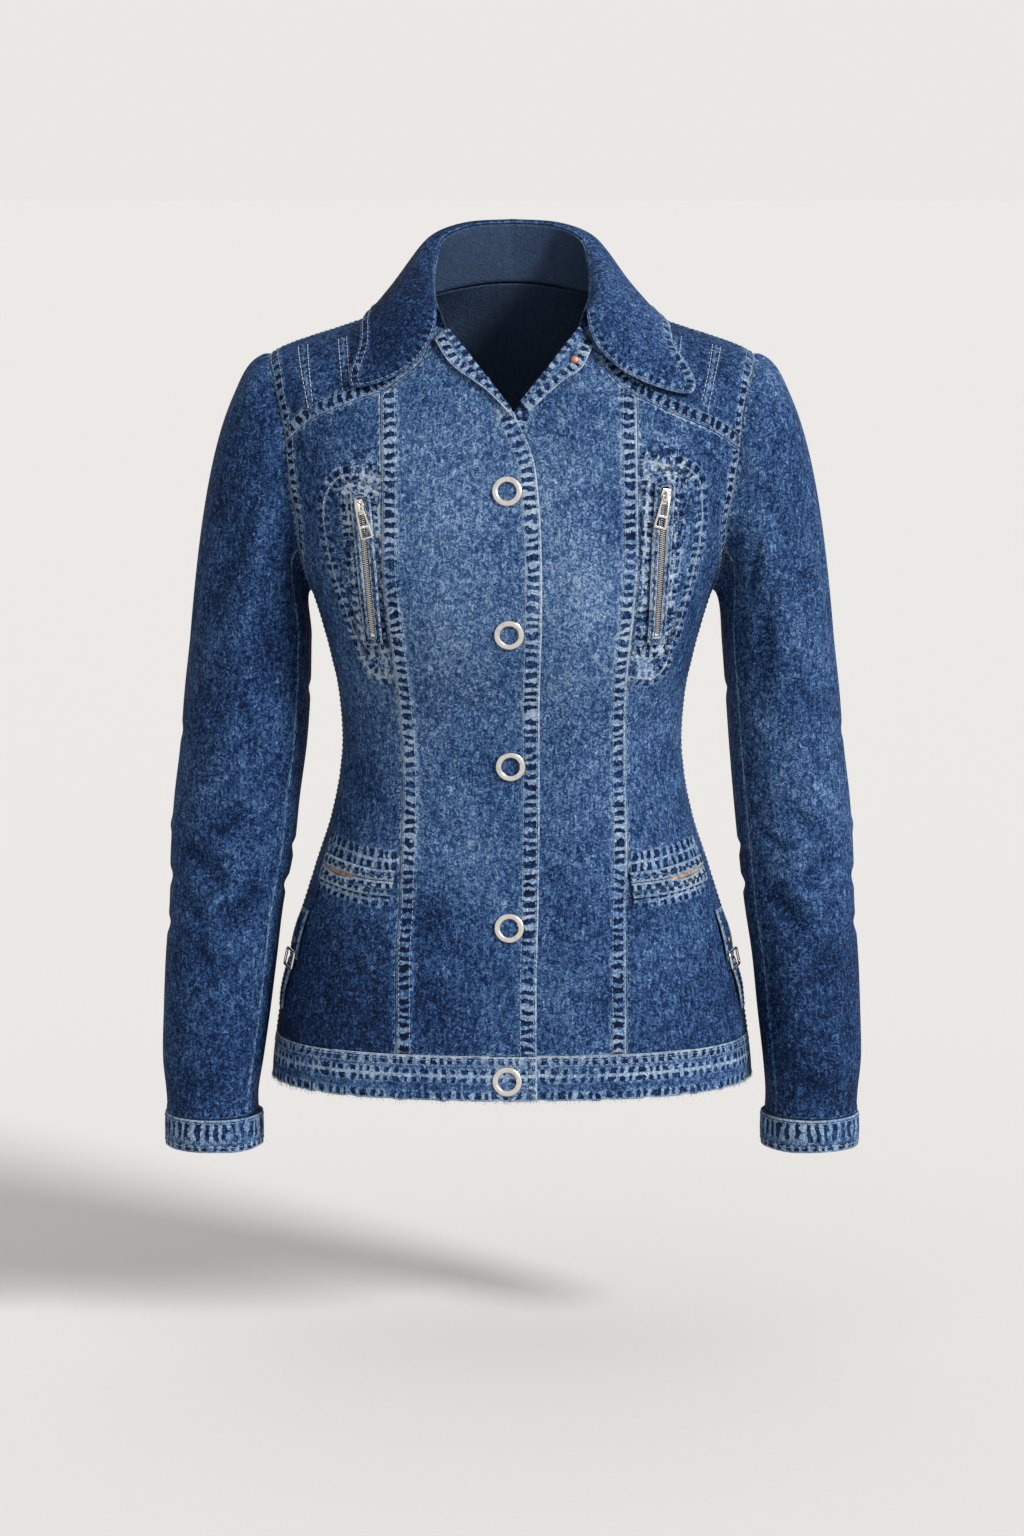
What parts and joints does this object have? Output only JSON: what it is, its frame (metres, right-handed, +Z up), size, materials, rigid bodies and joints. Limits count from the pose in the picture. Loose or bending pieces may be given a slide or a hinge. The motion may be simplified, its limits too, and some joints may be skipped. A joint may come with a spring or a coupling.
{
  "type": "denim jacket",
  "caption": "Cropped washed-denim jacket, open at the neck, with long sleeves, turned-down collar, princess seams, front ring snaps, zipped chest pockets, waist welts, side tabs and hem band.",
  "frame": {"origin": "middle of the neck base, between the sides of the neckline, where the wearer carries the jacket", "axes": "+Z up along the wearer's height, -Y to the front, +X to the wearer's left"},
  "size_m": [0.5262, 0.2268, 0.6894],
  "materials": {
    "denim_body": "washed mid-blue denim twill, faded along the seams",
    "denim_dark": "darker indigo denim twill",
    "denim_worn": "abraded light-blue denim edges",
    "zip_tape": "dark woven tape under the zip teeth",
    "silver_metal": "polished silver-coloured metal",
    "copper_metal": "dull copper-coloured metal"
  },
  "bodies": {
    "jacket": {"front_right_centre": "denim_body", "front_right_side": "denim_body", "back_right_side": "denim_body", "front_yoke_right": "denim_dark", "sleeve_upper_right": "denim_dark", "sleeve_under_right": "denim_dark", "side_tab_right": "denim_dark", "side_tab_tail_right": "denim_dark", "front_facing_right": "denim_worn", "cuff_right": "denim_worn", "pocket_lip_upper_right": "denim_worn", "pocket_lip_lower_right": "denim_worn", "zip_lip_right": "denim_worn", "hem_band_right": "denim_worn", "zip_tape_right": "zip_tape", "zip_slider_right": "silver_metal", "side_ring_right": "silver_metal", "side_rivet_right": "copper_metal", "front_left_centre": "denim_body", "front_left_side": "denim_body", "back_left_side": "denim_body", "front_yoke_left": "denim_dark", "sleeve_upper_left": "denim_dark", "sleeve_under_left": "denim_dark", "side_tab_left": "denim_dark", "side_tab_tail_left": "denim_dark", "front_facing_left": "denim_worn", "cuff_left": "denim_worn", "pocket_lip_upper_left": "denim_worn", "pocket_lip_lower_left": "denim_worn", "zip_lip_left": "denim_worn", "hem_band_left": "denim_worn", "zip_tape_left": "zip_tape", "zip_slider_left": "silver_metal", "side_ring_left": "silver_metal", "side_rivet_left": "copper_metal", "back_centre": "denim_body", "back_yoke": "denim_dark", "collar_fall": "denim_dark", "collar_stand": "denim_dark", "hem_band_back": "denim_worn", "ring_snap_1": "silver_metal", "ring_snap_2": "silver_metal", "ring_snap_3": "silver_metal", "ring_snap_4": "silver_metal", "ring_snap_5": "silver_metal", "neck_stud": "copper_metal"},
    "pull_right": {"zip_pull_right": "silver_metal"},
    "pull_left": {"zip_pull_left": "silver_metal"}
  },
  "joints": [
    {"name": "pull_right_hinge", "type": "hinge", "parent": "jacket", "child": "pull_right", "pos_m": [-0.11046, -0.09517, -0.154], "axis": [-0.9062, 0.3218, -0.2743], "range_deg": [0, 165]},
    {"name": "pull_left_hinge", "type": "hinge", "parent": "jacket", "child": "pull_left", "pos_m": [0.11158, -0.09425, -0.14639], "axis": [-0.9246, -0.3146, 0.2147], "range_deg": [0, 165]}
  ]
}
